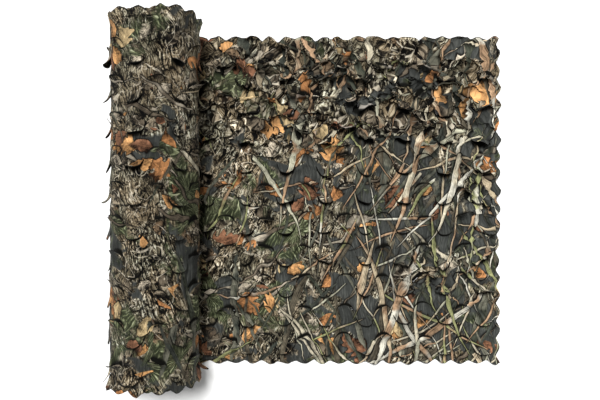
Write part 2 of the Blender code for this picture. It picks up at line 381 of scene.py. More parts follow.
def edgeLobes(u, v, fromEdge):
    # each lobe of the cut edges lifts by its own height and leans in by its own amount: both grow with the
    # square of the nearness to the edge, times the squared cosine of the place along the lobe
    c, lobes = netCloth, edgeLobe
    onEnd = c["freeEnd"] - u < c["width"] / 2 - np.abs(v)
    along = np.where(onEnd, v + c["width"] / 2, u) / c["scallopPitch"]
    lobe = np.floor(along + 0.5).astype(int)
    edge = np.where(onEnd, 0, np.where(v > 0, 1, 2))
    dice = np.random.default_rng(lobes["seed"]).random((2, 3, lobes["draws"]))
    liftDraw, leanDraw = dice[:, edge, lobe % lobes["draws"]]
    near = np.clip(1 - fromEdge / lobes["reach"], 0, 1) ** 2 * np.cos(np.pi * (along - lobe)) ** 2
    return lobes["lift"] * liftDraw**2 * near, -lobes["lean"] * leanDraw * liftDraw * near


looseEnd = {
    "columnsPerArc": 18,
    "rowsPerStrip": 24,
    "height": 0.003,  # at the edges
    "restHeight": 0.0085,  # how much higher the cloth lies inside them, from this far in
    "restFrom": 0.05,
    "edgeFade": (-0.03, 0.06),  # metres in from the edges over which the rumples come up
    "tailFade": 0.10,
    "edgeShare": 0.15,  # of the rumples' height, left at the edges
    "lowest": 0.0015,
}


def makeLooseSheet():
    # the flat grid, plus its rumples and bent leaves, which fade towards the edges and the tail
    c, s = netCloth, looseEnd
    u, v, strip, share, quads = cutGrid(c["tail"], c["freeEnd"], s["columnsPerArc"], s["rowsPerStrip"])
    loose = loosenessAt(u, v)
    height, shiftU, shiftV = rumpledCloth(u, v, loose)
    leafU, leafV, leafUp, searedAndShaded, turned = bentLeaves(u, v, strip, share, loose)
    margin = c["freeEnd"] - c["uncutMargin"]
    endShare = np.clip((u - margin) / (c["freeEnd"] - margin), 0, 1)
    shapedU = u - endShare * scallop(v + c["width"] / 2)
    fromEdge = np.minimum(c["width"] / 2 - np.abs(v), c["freeEnd"] - u)
    pastTail = smoothStep(c["tail"], c["tail"] + s["tailFade"], u)
    inner = smoothStep(*s["edgeFade"], fromEdge) * pastTail
    lobeUp, lobeShift = edgeLobes(u, v, fromEdge)
    x = shapedU + (shiftU + leafU) * inner + lobeShift * endShare
    y = v + (shiftV + leafV) * inner + lobeShift * (1 - endShare) * np.sign(v)
    z = s["height"] + s["restHeight"] * smoothStep(0, s["restFrom"], fromEdge) * inner
    z = z + (height + leafUp) * between((s["edgeShare"], 1), inner) + lobeUp * pastTail
    co = np.stack([x, y, np.maximum(z, s["lowest"])], -1)
    # the rim: the seared long edges, and along the cuts a seared edge with painted shade under the lifted
    # leaves
    rim = np.maximum(searedAndShaded, edgeRim(share, strip, s["rowsPerStrip"]))
    return makeNetPiece("loose_sheet", co, quads, u, v, rim, turned)


# the roll: the cloth winds back from the tail, under the roll, up its far side and over, each turn inside
# the last
roll = {
    "axisHeight": 0.185,
    "radius": 0.1855,
    "turnSpacing": 0.0095,
    "outerLength": 1.17,
    "secondLength": 1.14,
    "coreRadius": 0.022,
    "endBand": 0.060,  # how much of the inner turns is made at each end
    "tailGap": 0.0003,
    "outerGrid": (16, 22),  # columns to an arc and rows to a strip
    "secondGrid": (110, 130),  # columns and rows
    "bandColumn": 0.0085,
    "bandRows": 6,
    "looseness": 0.26,
    "looseVary": (0.9, 0.3, 33),  # share of it, cell and seed
    "endLoose": 0.35,
    "endLooseFrom": (0.66, 0.74),
    "curlScale": 0.95,
    "rumpleUp": 0.7,  # how much of the rumples' height and shift the outer turn keeps
    "rumpleShift": 0.6,
    "sag": 0.0045,
    "sagNoise": (0.085, 31),
    "sagStretch": 4.5,
    "lump": 0.0035,
    "lumps": ((2, 7, 0), (3, -4, 1), (0, 11, 0)),  # waves to a turn, radians to a metre along v, phase
    "hollows": (  # angle, half width, depth, wander
        (-3.32, 0.13, 0.014, 0.08),
        (-3.80, 0.20, -0.004, 0.08),
        (-2.60, 0.10, 0.005, 0.15),
        (-4.15, 0.10, 0.006, 0.12),
        (-1.90, 0.12, 0.005, 0.15),
    ),
    "hollowWander": (0.4, 35),
    "hollowDepth": (0.3, 36),
    "innerRelief": 0.4,
    "innerRuffle": (0.002, 0.05, 41),  # height, cell and seed, near the ends
    "ruffleFrom": (0.6, 0.75),
    "offGround": (0.25, 1.1),  # radians from straight down over which the cloth comes free of the ground
    "groundShift": 0.2,
    "groundRise": 0.3,
    "lowest": 0.0012,
    "endWander": 0.010,
    "farWander": (0.3, 0.23, 14),  # place, cell and seed of the noise
    "nearWander": (0.7, 0.21, 15),
    "endFrom": (0.3, 0.75),  # the ends' shape comes in over these distances from the middle
    "endScale": 1.018,
    "endFlare": 0.014,
    "coreIn": 0.022,
    "edgeRim": 0.42,
}


def spiralAt(back):
    # back is the length wound since the tail. The turn angle solves back = R a - s a a / 4 pi for a spiral
    # of spacing s, and the radius falls by s in each turn. The angle is counted from straight down,
    # towards +X.
    r = roll
    tailAngle = math.asin(netCloth["tail"] / r["axisHeight"])
    left = np.maximum(r["radius"] ** 2 - r["turnSpacing"] * back / np.pi, 0)
    turned = 2 * np.pi / r["turnSpacing"] * (r["radius"] - np.sqrt(left))
    return tailAngle - turned, r["radius"] - r["turnSpacing"] * turned / (2 * np.pi)


def woundPoint(back, v, outward, alongShift=0, acrossShift=0):
    # A point of the flat cloth carried onto the spiral, pushed out from its axis, and pressed flat on the
    # ground. At the ends it wanders by noise, spreads with v, flares with the squared sine of the angle
    # and draws in towards the core.
    r = roll
    angle, radius = spiralAt(back)
    angle = angle + alongShift / radius
    free = smoothStep(*r["offGround"], np.arccos(np.clip(np.cos(angle), -1, 1)))
    radius = radius + outward * free
    outer = radius / r["radius"]
    (farPlace, *farNoise), (nearPlace, *nearNoise) = r["farWander"], r["nearWander"]
    end = np.where(v > 0, gridNoise(back, farPlace, *farNoise), gridNoise(back, nearPlace, *nearNoise))
    out = v * (r["endScale"] - 1) * free * outer
    out = out + np.sign(v) * r["endFlare"] * np.sin(angle) ** 2 * outer**2
    out = out + np.sign(v) * (r["endWander"] * end - r["coreIn"] * (1 - outer))
    y = v + acrossShift * between((r["groundShift"], 1), free) + out * smoothStep(*r["endFrom"], np.abs(v))
    ground = r["lowest"] + r["groundRise"] * np.maximum(outward * (1 - free), 0)
    z = np.maximum(r["axisHeight"] - radius * np.cos(angle), ground)
    return np.stack([radius * np.sin(angle), y, z], -1)


def rollRelief(back, v):
    # slow lumps of the wound body, as sines of the angle and of v, slack from noise, and hollows along the
    # axis where the turns have slackened, each falling off as e to the minus squared angle from it
    r = roll
    angle, radius = spiralAt(back)
    lumps = sum(np.sin(around * angle + along * v + phase) for around, along, phase in r["lumps"])
    slack = gridNoise(back, v / r["sagStretch"], *r["sagNoise"])
    relief = r["lump"] * lumps / len(r["lumps"]) + r["sag"] * slack
    for where, halfWidth, depth, wander in r["hollows"]:
        shift = wander * gridNoise(v, where, *r["hollowWander"])
        strength = 0.75 + 0.5 * gridNoise(v, 2 * where, *r["hollowDepth"])
        relief = relief - depth * strength * np.exp(-(((angle - where - shift) / halfWidth) ** 2))
    return relief


def makeOuterTurn():
    # the cut grid with its rumples and bent leaves, carried onto the spiral
    c, r = netCloth, roll
    uFrom, uTo = c["tail"] - r["outerLength"], c["tail"] - r["tailGap"]
    u, v, strip, share, quads = cutGrid(uFrom, uTo, *r["outerGrid"])
    vary, *varyNoise = r["looseVary"]
    loose = r["looseness"] * (1 + vary * gridNoise(u, v, *varyNoise))
    loose = loose + r["endLoose"] * smoothStep(*r["endLooseFrom"], np.abs(v))
    height, shiftU, shiftV = rumpledCloth(u, v, loose)
    leafU, leafV, leafUp, searedAndShaded, turned = bentLeaves(u, v, strip, share, loose, r["curlScale"])
    back = c["tail"] - u
    outward = rollRelief(back, v) + r["rumpleUp"] * height + leafUp
    co = woundPoint(back, v, outward, r["rumpleShift"] * shiftU + leafU, r["rumpleShift"] * shiftV + leafV)
    # the rim: the seared long edges, and along the cuts a seared edge with painted shade under the lifted
    # leaves
    rim = np.maximum(searedAndShaded, edgeRim(share, strip, r["outerGrid"][1]))
    return makeNetPiece("roll_outer_turn", co, quads[:, ::-1], u, v, rim, turned)


def bandGrid(backFrom, backTo, columns, lowShare, highShare, rows):
    # a band of uncut cloth between two shares of the half width, with the scallops where it reaches an
    # edge: they grow from nothing to full depth over the end band
    half, band = netCloth["width"] / 2, roll["endBand"]
    back = np.linspace(backFrom, backTo, columns + 1)
    share = np.linspace(lowShare, highShare, rows + 1)
    edge = np.clip((np.abs(share) * half - half + band) / band, 0, 1) * np.sign(share)
    v = half * share[:, None] - np.outer(edge, scallop(netCloth["tail"] - back))
    quads = gridQuads(np.arange(v.size).reshape(v.shape))
    rim = np.broadcast_to((np.abs(share) > 1 - roundOff)[:, None] * roll["edgeRim"], v.shape)
    return np.broadcast_to(back, v.shape).ravel(), v.ravel(), quads, rim.ravel()


def makeInnerTurns():
    # The second turn lies whole under the first one's cuts. Of the others only the bands at the ends show,
    # down to the core, which the spiral reaches after the length R a - s a a / 4 pi.
    c, r = netCloth, roll
    start = r["outerLength"] + r["secondLength"]
    lastAngle = (r["radius"] - r["coreRadius"]) / r["turnSpacing"] * 2 * math.pi
    last = r["radius"] * lastAngle - r["turnSpacing"] * lastAngle**2 / (4 * math.pi)
    columns = int((last - start) / r["bandColumn"])
    bandFrom = 1 - r["endBand"] / (c["width"] / 2)
    across, down = r["secondGrid"]
    ruffle, *ruffleNoise = r["innerRuffle"]
    pieces = []
    for name, grid in (
        ("roll_second_turn", bandGrid(r["outerLength"], start, across, -1, 1, down)),
        ("roll_near_edges", bandGrid(start, last, columns, -1, -bandFrom, r["bandRows"])),
        ("roll_far_edges", bandGrid(start, last, columns, bandFrom, 1, r["bandRows"])),
    ):
        back, v, quads, rim = grid
        ruffled = ruffle * gridNoise(back, v, *ruffleNoise) * smoothStep(*r["ruffleFrom"], np.abs(v))
        co = woundPoint(back, v, r["innerRelief"] * rollRelief(back, v) + ruffled)
        pieces.append(makeNetPiece(name, co, quads, c["tail"] - back, v, rim, 0 * rim))
    return pieces


def put(tree, kind, inputs=None, **settings):
    # one shader node, its settings, and its inputs as plain values or as the sockets that feed them
    node = tree.nodes.new("ShaderNode" + kind)
    for name, value in settings.items():
        setattr(node, name, value)
    for key, value in (inputs or {}).items():
        if isinstance(value, bpy.types.NodeSocket):
            tree.links.new(value, node.inputs[key])
        else:
            node.inputs[key].default_value = value
    return node


def calc(tree, operation, *values):
    # one sum, product or other operation
    return put(tree, "Math", dict(enumerate(values)), operation=operation).outputs[0]


def ramp(tree, value, low, high):
    # 0 below low and 1 above high, with a smooth step between
    inputs = {"Value": value, "From Min": low, "From Max": high}
    return put(tree, "MapRange", inputs, interpolation_type="SMOOTHSTEP").outputs[0]


def spread(tree, share, low, high):
    # low where the share is 0 and high where it is 1
    return calc(tree, "MULTIPLY_ADD", share, high - low, low)


def blend(tree, share, under, over, mode="MIX"):
    # one colour over another, by a share
    factor, colourA, colourB = 0, 6, 7  # the mix node's sockets for colours
    inputs = {factor: share}
    for socket, colour in ((colourA, under), (colourB, over)):
        inputs[socket] = (*colour, 1) if isinstance(colour, tuple) else colour
    return put(tree, "Mix", inputs, data_type="RGBA", blend_type=mode).outputs[2]


def shaded(tree, colour, value):
    # a colour times a plain value
    grey = put(tree, "CombineColor", {0: value, 1: value, 2: value}).outputs[0]
    return blend(tree, 1.0, colour, grey, "MULTIPLY")


def tones(tree, value, stops, steps="LINEAR"):
    # a value turned into a colour that runs, or steps, through these (place, colour) stops
    node = put(tree, "ValToRGB", {"Fac": value})
    node.color_ramp.interpolation = steps
    elements = node.color_ramp.elements
    while len(elements) < len(stops):
        elements.new(1.0)
    for element, (where, colour) in zip(elements, stops):
        element.position = where
        element.color = (*colour, 1)
    return node.outputs[0]


def pick(tree, draw, colours):
    # one of these colours, by where a random draw stands between 0 and 1
    return tones(tree, draw, [(k / len(colours), colour) for k, colour in enumerate(colours)], "CONSTANT")


def redrawn(tree, draw, times):
    # a further draw out of one: the fraction that is left after it is multiplied
    return calc(tree, "FRACT", calc(tree, "MULTIPLY", draw, times))


def noise(tree, place, size, detail=2.0, distortion=0.0, roughness=0.5):
    # noise between 0 and 1, its cells of this size in metres
    inputs = {"Vector": place, "Scale": 1 / size, "Detail": detail}
    inputs.update({"Distortion": distortion, "Roughness": roughness})
    return put(tree, "TexNoise", inputs, noise_dimensions="2D").outputs["Fac"]


def placed(tree, place, turn=0.0, shift=(0, 0), stretch=(1, 1)):
    # the cloth's metres moved, turned and divided by a stretch
    inputs = {"Vector": place, "Location": (*shift, 0), "Rotation": (0, 0, turn)}
    turned = put(tree, "Mapping", inputs, vector_type="TEXTURE").outputs[0]
    return put(tree, "Mapping", {"Vector": turned, "Scale": (1 / stretch[0], 1 / stretch[1], 1)}).outputs[0]


def patches(tree, place, shift, *numbers):
    # noise moved by its own shift, so that no two fields of patches fall together
    return noise(tree, placed(tree, place, 0, shift), *numbers)


def swirled(tree, place, size, reach, shift=(0, 0), detail=2.0):
    # the cloth's metres pushed about by a slow noise, so what is drawn on them bends
    inputs = {"Vector": placed(tree, place, 0, shift), "Scale": 1 / size, "Detail": detail}
    warp = put(tree, "TexNoise", inputs, noise_dimensions="2D").outputs["Color"]
    push = put(tree, "VectorMath", {0: warp, 1: (-0.5, -0.5, -0.5)}, operation="ADD").outputs[0]
    push = put(tree, "VectorMath", {0: push, "Scale": reach}, operation="SCALE").outputs[0]
    return put(tree, "VectorMath", {0: place, 1: push}, operation="ADD").outputs[0]


def frayed(tree, place, under):
    # The cloth's metres pushed a little by what is printed there already, which roughens the edge of the
    # next motif. It also has the layers worked out one after another: side by side they are too many for
    # the renderer's stack, and the whole cloth turns black.
    inputs = {0: under, 1: (0.004, -0.004, 0), 2: place}
    return put(tree, "VectorMath", inputs, operation="MULTIPLY_ADD").outputs[0]


def scatter(tree, place, size, turn, fan, shift, uneven=0.75):
    # One motif in each cell of an uneven lattice, turned by up to half the fan to either side. Returns
    # where a point lies from its motif's middle, along it and across it in metres, and three random
    # values of the motif.
    cells = placed(tree, place, turn, shift, size)
    inputs = {"Vector": cells, "Scale": 1.0, "Randomness": uneven}
    lattice = put(tree, "TexVoronoi", inputs, voronoi_dimensions="2D").outputs
    away = put(tree, "VectorMath", {0: cells, 1: lattice["Position"]}, operation="SUBTRACT").outputs[0]
    metres = put(tree, "VectorMath", {0: away, 1: (*size, 1)}, operation="MULTIPLY").outputs[0]
    dice = put(tree, "SeparateColor", {"Color": lattice["Color"]}).outputs
    angle = calc(tree, "MULTIPLY", calc(tree, "SUBTRACT", dice[0], 0.5), fan)
    inputs = {"Vector": metres, "Angle": angle}
    turned = put(tree, "VectorRotate", inputs, rotation_type="Z_AXIS").outputs[0]
    apart = put(tree, "SeparateXYZ", {"Vector": turned}).outputs
    return apart[0], apart[1], dice


# the print, all worked out in the flat cloth's own metres, so it runs on from the loose end into the roll
earth = (0.004, 0.003, 0.002)  # the darkest ink, of cracks, hairlines and halos
motifEdge = (-0.0005, 0.0005)  # metres over which a motif's edge fades
bladeShape = {
    "fan": 0.6,  # radians over which the blades of one layer turn
    "uneven": 0.5,  # how far they stand from an even lattice
    "reach": 0.47,  # half a blade's length, in cells
    "bow": 1.4,
    "bowEven": 0.35,  # share of the squared reach that the bow is set back by
    "lean": 0.45,  # how much wider a blade is towards one end
    "widths": (0.55, 1.35),
    "halo": (-0.008, -0.001),
    "secondDraws": (7.0, 17.0),
    "spotScale": (8.0, 50.0, 4.0),  # along, from blade to blade, across
    "spots": (0.47, 0.60),
    "fibreScale": (7.0, 330.0),
    "fibres": (-0.85, 0.85),  # how much the fibres and the blotches darken and lighten it
    "blotchNoise": (0.028, 4.0, 0.3, 0.65),
    "blotches": (0.08, 1.38),
    "sideLight": 0.3,
    "lit": (0.06, 1.25),
}


def bladeLayer(tree, place, under, size, turn, shift, keep, width, colours, outline, swirl):
    # Long tapered blades. Half the width falls off as 1 - t t, with t along the blade from -1 to 1, and
    # the blade bows by the square of the distance along it. A dark halo parts it from what lies under.
    b = bladeShape
    place = frayed(tree, place, under)
    swirlSize, swirlReach, swirlDetail = swirl
    bowed = swirled(tree, place, swirlSize, swirlReach, shift, swirlDetail)
    along, across, dice = scatter(tree, bowed, size, turn, b["fan"], shift, b["uneven"])
    reach = size[0] * b["reach"]
    bow = calc(tree, "MULTIPLY", calc(tree, "SUBTRACT", dice[1], 0.5), b["bow"])
    arch = calc(tree, "MULTIPLY_ADD", along, along, -b["bowEven"] * reach**2)
    across = calc(tree, "MULTIPLY_ADD", arch, bow, across)
    t = calc(tree, "DIVIDE", along, reach)
    taper = calc(tree, "SUBTRACT", 1.0, calc(tree, "MULTIPLY", t, t))
    lean = calc(tree, "MULTIPLY_ADD", t, b["lean"], 1.0)
    half = calc(tree, "MULTIPLY", calc(tree, "MULTIPLY", taper, lean), width / 2)
    half = calc(tree, "MULTIPLY", half, spread(tree, dice[0], *b["widths"]))
    inside = calc(tree, "SUBTRACT", half, calc(tree, "ABSOLUTE", across))
    here = calc(tree, "LESS_THAN", dice[2], keep)
    halo = calc(tree, "MULTIPLY", ramp(tree, inside, *b["halo"]), here)
    body = calc(tree, "MULTIPLY", ramp(tree, inside, *motifEdge), here)
    # two colours out of the list, the second in spots on the first
    colour, second = [pick(tree, redrawn(tree, dice[0], times), colours) for times in b["secondDraws"]]
    spotAlong, spotDraw, spotAcross = b["spotScale"]
    spot = {0: calc(tree, "MULTIPLY", along, spotAlong), 1: calc(tree, "MULTIPLY", dice[1], spotDraw)}
    spot = noise(tree, put(tree, "CombineXYZ", spot).outputs[0], 1.0)
    spot = calc(tree, "ADD", spot, calc(tree, "MULTIPLY", across, spotAcross))
    colour = blend(tree, ramp(tree, spot, *b["spots"]), colour, second)
    # fibres, blotches, and more light on one side
    fibreAlong, fibreAcross = b["fibreScale"]
    fibre = {0: calc(tree, "MULTIPLY", along, fibreAlong), 1: calc(tree, "MULTIPLY", across, fibreAcross)}
    fibre = noise(tree, put(tree, "CombineXYZ", fibre).outputs[0], 1.0)
    blotch = noise(tree, place, *b["blotchNoise"])
    lit = spread(tree, fibre, *b["fibres"])
    lit = calc(tree, "MULTIPLY_ADD", across, b["sideLight"] / width, lit)
    lit = calc(tree, "ADD", lit, spread(tree, blotch, *b["blotches"]))
    darkest, palest = b["lit"]
    colour = shaded(tree, colour, calc(tree, "MINIMUM", calc(tree, "MAXIMUM", lit, darkest), palest))
    under = blend(tree, calc(tree, "MULTIPLY", halo, outline), under, earth)
    return blend(tree, body, under, colour)


leafShape = {
    "turn": 0.3,
    "fan": 6.283,  # a full turn
    "length": 0.46,  # half of it, in cells
    "width": 0.25,  # half of it, in cells, before the taper
    "bow": 3.0,
    "tip": -0.33,
    "veinSlant": 0.7,
    "lobePitch": 0.23,  # in cells
    "veinPitch": 0.115,
    "raggedNoise": (0.012, 2.0),
    "ragged": (0.75, 1.25),
    "halo": (-0.010, 0.0),
    "outline": 0.85,
    "veins": (0.6, 1.0),
    "rib": (0.0016, 0.0004),
    "blotchNoise": (0.024, 5.0, 0.4, 0.7),
    "blotches": (-0.65, 2.35),
    "sideLight": 0.55,
    "veinDark": 0.22,
    "ribLight": 0.5,
    "darkest": 0.12,
}


def leafLayer(tree, place, under, size, shift, keep, lobes, zone, colours):
    # Broad leaves, turned every way. Half the width falls off as (1 - t t)(1 - t / 3) and swells and
    # narrows into lobes, and the veins run out from the midrib at a slant.
    f = leafShape
    place = frayed(tree, place, under)
    along, across, dice = scatter(tree, place, (size, size), f["turn"], f["fan"], shift)
    length, width = size * f["length"], size * f["width"]
    across = calc(tree, "MULTIPLY_ADD", calc(tree, "MULTIPLY", along, along), f["bow"], across)
    t = calc(tree, "DIVIDE", along, length)
    taper = calc(tree, "SUBTRACT", 1.0, calc(tree, "MULTIPLY", t, t))
    taper = calc(tree, "MULTIPLY", taper, calc(tree, "MULTIPLY_ADD", t, f["tip"], 1.0))
    side = calc(tree, "ABSOLUTE", across)
    slant = calc(tree, "SUBTRACT", along, calc(tree, "MULTIPLY", side, f["veinSlant"]))
    lobe = calc(tree, "SINE", calc(tree, "MULTIPLY", slant, 2 * math.pi / (size * f["lobePitch"])))
    ragged = spread(tree, noise(tree, place, *f["raggedNoise"]), *f["ragged"])
    taper = calc(tree, "MULTIPLY", taper, calc(tree, "MULTIPLY_ADD", lobe, lobes, 1.0))
    half = calc(tree, "MULTIPLY", calc(tree, "MULTIPLY", taper, ragged), width)
    inside = calc(tree, "SUBTRACT", half, side)
    here = calc(tree, "LESS_THAN", dice[1], calc(tree, "MULTIPLY", zone, keep))
    halo = calc(tree, "MULTIPLY", ramp(tree, inside, *f["halo"]), here)
    body = calc(tree, "MULTIPLY", ramp(tree, inside, *motifEdge), here)
    colour = pick(tree, dice[2], colours)
    veins = calc(tree, "SINE", calc(tree, "MULTIPLY", slant, 2 * math.pi / (size * f["veinPitch"])))
    veins = ramp(tree, veins, *f["veins"])
    rib = ramp(tree, side, *f["rib"])
    blotch = noise(tree, place, *f["blotchNoise"])
    lit = calc(tree, "MULTIPLY_ADD", across, f["sideLight"] / width, spread(tree, blotch, *f["blotches"]))
    lit = calc(tree, "SUBTRACT", lit, calc(tree, "MULTIPLY", veins, f["veinDark"]))
    lit = calc(tree, "ADD", lit, calc(tree, "MULTIPLY", rib, f["ribLight"]))
    colour = shaded(tree, colour, calc(tree, "MAXIMUM", lit, f["darkest"]))
    under = blend(tree, calc(tree, "MULTIPLY", halo, f["outline"]), under, earth)
    return blend(tree, body, under, colour)


barkPrint = {
    "swirl": (0.13, 0.045),  # size and reach of the bends, and of the frays on them
    "fray": (0.016, 0.0045),
    "fibreTurn": 1.25,
    "fibreStretch": (11.0, 1.0),
    "grain": (0.034, 6.0, 0.5, 0.72),  # each noise's size, detail, distortion and roughness
    "fibre": (0.0058, 4.0, 0.0, 0.65),
    "fleck": (0.011, 3.0, 0.0, 0.6),
    "broad": ((0.2, 0.9), 0.10),  # a field of patches: its shift, then its noise
    "gains": (1.25, 1.85, 0.85, 0.7),  # how much grain, fibre, fleck and broad noise count
    "middle": 0.44,
    "calm": ((0.8, 0.4), 0.19),
    "calmRange": (0.43, 0.59),
    "calmLeast": 0.40,  # how much of the bark's strength is left in the smoother patches
    "calmLift": 0.05,
    "crackCell": (0.078, 0.021),
    "crackShift": (0.3, 0.1),
    "crackFray": 0.16,
    "crackRange": (0.170, 0.115),
    "crackInk": 0.85,
    "warm": ((0.6, 0.2), 0.17, 3.0),
    "warmRange": (0.40, 0.62),
    "coolTint": (0.92, 0.97, 0.91),
    "warmTint": (1.07, 1.00, 0.87),
    "tones": (
        (0.24, earth),
        (0.38, (0.050, 0.040, 0.027)),
        (0.53, (0.155, 0.128, 0.090)),
        (0.71, (0.315, 0.282, 0.225)),
        (0.93, (0.620, 0.585, 0.510)),
    ),
}


def barkGround(tree, place):
    # bark: the sum of a coarse grain, long fibres and flecks of noise runs through dark, brown and pale
    # tones, parted by long dark cracks along the borders of stretched cells
    b = barkPrint
    bent = swirled(tree, place, *b["swirl"])
    rough = swirled(tree, bent, *b["fray"])
    grain = noise(tree, bent, *b["grain"])
    fibre = noise(tree, placed(tree, rough, b["fibreTurn"], (0, 0), b["fibreStretch"]), *b["fibre"])
    fleck = noise(tree, rough, *b["fleck"])
    broad = patches(tree, place, *b["broad"])
    value = 0.0
    for part, gain in zip((grain, fibre, fleck, broad), b["gains"]):
        value = calc(tree, "MULTIPLY_ADD", calc(tree, "SUBTRACT", part, 0.5), gain, value)
    # in smoother patches all of it fades to a share of its strength, on a slightly paler ground
    drawn = ramp(tree, patches(tree, place, *b["calm"]), *b["calmRange"])
    value = calc(tree, "MULTIPLY", value, spread(tree, drawn, b["calmLeast"], 1))
    value = calc(tree, "ADD", value, spread(tree, drawn, b["middle"] + b["calmLift"], b["middle"]))
    cells = placed(tree, rough, b["fibreTurn"], b["crackShift"], b["crackCell"])
    kind = {"voronoi_dimensions": "2D", "feature": "DISTANCE_TO_EDGE"}
    crack = put(tree, "TexVoronoi", {"Vector": cells, "Scale": 1.0}, **kind).outputs[0]
    deep = ramp(tree, calc(tree, "MULTIPLY_ADD", fleck, b["crackFray"], crack), *b["crackRange"])
    warm = ramp(tree, patches(tree, place, *b["warm"]), *b["warmRange"])
    wood = tones(tree, value, b["tones"])
    wood = blend(tree, 1.0, wood, blend(tree, warm, b["coolTint"], b["warmTint"]), "MULTIPLY")
    return blend(tree, calc(tree, "MULTIPLY", deep, b["crackInk"]), wood, earth)


tuftPrint = {
    "cell": (0.15, 0.15),
    "shift": (0.13, 0.4),
    "around": 10.0,  # how fast the noise changes with the angle, and with the radius in metres
    "outward": 22.0,
    "tuftDraw": 40.0,  # and from tuft to tuft
    "noise": (1.0, 2.0, 0.3),
    "greenRange": (0.50, 0.66),
    "tipRange": (0.64, 0.80),
    "dark": (0.026, 0.032, 0.015),
    "green": (0.125, 0.140, 0.072),
    "tip": (0.330, 0.345, 0.220),
}


def needleTufts(tree, place):
    # tufts of needles: noise that changes fast with the angle round each tuft's middle and slowly along
    # the radius
    f = tuftPrint
    along, across, dice = scatter(tree, place, f["cell"], 0.0, 0.0, f["shift"])
    angle = calc(tree, "ARCTAN2", across, along)
    squared = calc(tree, "MULTIPLY_ADD", across, across, calc(tree, "MULTIPLY", along, along))
    radius = calc(tree, "SQRT", squared)
    around = calc(tree, "MULTIPLY_ADD", dice[0], f["tuftDraw"], calc(tree, "MULTIPLY", angle, f["around"]))
    fan = {0: around, 1: calc(tree, "MULTIPLY", radius, f["outward"])}
    needles = noise(tree, put(tree, "CombineXYZ", fan).outputs[0], *f["noise"])
    green = blend(tree, ramp(tree, needles, *f["greenRange"]), f["dark"], f["green"])
    return blend(tree, ramp(tree, needles, *f["tipRange"]), green, f["tip"])


litterAndFields = {
    # leaf litter on the bark: size, shift, share of the cells kept, and how lobed
    "litter": ((0.075, (0.45, 0.73), 0.32, 0.08), (0.075, (0.19, 0.37), 0.26, 0.20)),
    "litterColours": (
        (0.190, 0.155, 0.108),
        (0.090, 0.072, 0.050),
        (0.280, 0.240, 0.180),
        (0.130, 0.088, 0.052),
    ),
    # thin winding lines: size, shift, width, ink and its strength
    "hairlines": (
        (0.075, (0.31, 0.77), 0.020, earth, 0.8),
        (0.130, (0.13, 0.51), 0.010, (0.460, 0.410, 0.320), 0.6),
        (0.040, (0.57, 0.23), 0.024, earth, 0.8),
    ),
    "hairlineNoise": (3.0, 0.6, 0.55),
    "hairlineCore": 0.3,  # share of the width that is fully inked
    "slateSwirl": (0.2, 0.04),
    "slateLean": 0.06,
    "slateStreak": (0.007, 0.10),
    "slateNoise": (1.0, 4.0, 0.0, 0.6),
    "slateRange": (0.42, 0.85),
    "slate": (0.033, 0.035, 0.032),
    "slateLight": (0.078, 0.081, 0.073),
    "slatePatches": ((0.37, 0.21), 0.21, 3.0, 0.6, 0.6),
    "slateShare": (0.555, 0.60),
    "slateBias": 0.13,  # more of it towards the free end, and less towards the far edge
    "slateToFar": 1.1,
    "mossSwirl": (0.06, 0.02),
    "mossPatches": ((0.71, 0.63), 0.27, 5.0, 0.5, 0.6),
    "mossBias": 0.06,  # less of it towards both
    "mossShare": (0.515, 0.59),
    "mossInk": 0.9,
}


def barkAndLitter(tree, place):
    # leaf litter and hairlines on the bark; a hairline is where slow noise passes through its middle value
    g = litterAndFields
    bark = barkGround(tree, place)
    for layer in g["litter"]:
        bark = leafLayer(tree, place, bark, *layer, 1.0, g["litterColours"])
    inked = frayed(tree, place, bark)
    for size, shift, width, ink, depth in g["hairlines"]:
        level = patches(tree, inked, shift, size, *g["hairlineNoise"])
        away = calc(tree, "ABSOLUTE", calc(tree, "SUBTRACT", level, 0.5))
        line = ramp(tree, away, width, width * g["hairlineCore"])
        bark = blend(tree, calc(tree, "MULTIPLY", line, depth), bark, ink)
    return bark


def forestFloor(tree, place, toEnd, toFar):
    # slate fields with faint upright streaks, and between them bark with its litter, and moss in tufts
    g = litterAndFields
    swirl = swirled(tree, place, *g["slateSwirl"])
    streak = noise(tree, placed(tree, swirl, g["slateLean"], (0, 0), g["slateStreak"]), *g["slateNoise"])
    slate = blend(tree, ramp(tree, streak, *g["slateRange"]), g["slate"], g["slateLight"])
    patch = patches(tree, place, *g["slatePatches"])
    bias = calc(tree, "SUBTRACT", toEnd, calc(tree, "MULTIPLY", toFar, g["slateToFar"]))
    bias = calc(tree, "MULTIPLY", bias, g["slateBias"])
    slateShare = ramp(tree, calc(tree, "ADD", patch, bias), *g["slateShare"])
    ground = blend(tree, slateShare, barkAndLitter(tree, place), slate)
    green = needleTufts(tree, swirled(tree, frayed(tree, place, ground), *g["mossSwirl"]))
    mossy = patches(tree, place, *g["mossPatches"])
    bias = calc(tree, "MULTIPLY", calc(tree, "ADD", toEnd, toFar), g["mossBias"])
    mossy = ramp(tree, calc(tree, "SUBTRACT", mossy, bias), *g["mossShare"])
    return blend(tree, calc(tree, "MULTIPLY", mossy, g["mossInk"]), ground, green)


